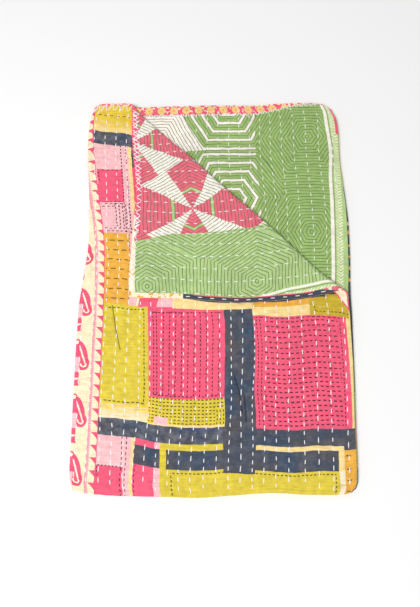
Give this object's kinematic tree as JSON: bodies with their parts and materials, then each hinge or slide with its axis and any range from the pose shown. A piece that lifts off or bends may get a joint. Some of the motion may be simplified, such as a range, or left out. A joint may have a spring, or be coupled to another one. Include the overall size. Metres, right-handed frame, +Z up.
{
  "type": "kantha quilt folded in quarters",
  "caption": "Hand-stitched patchwork kantha throw, folded in quarters with one corner of its top layer turned back.",
  "frame": {"origin": "on the surface the quilt lies on, under the middle of its outline", "axes": "+Y towards the back hems, away from the front fold; +X towards the right hems, away from the left fold; +Z up"},
  "size_m": [0.612, 0.9126, 0.0276],
  "materials": {
    "printed_cotton": "soft matt layered cotton, printed with patchwork on one face and green lined hexagons on the other",
    "stitching_thread": "white cotton thread in running stitches"
  },
  "bodies": {
    "root": {"quilt": "printed_cotton"}
  },
  "joints": []
}
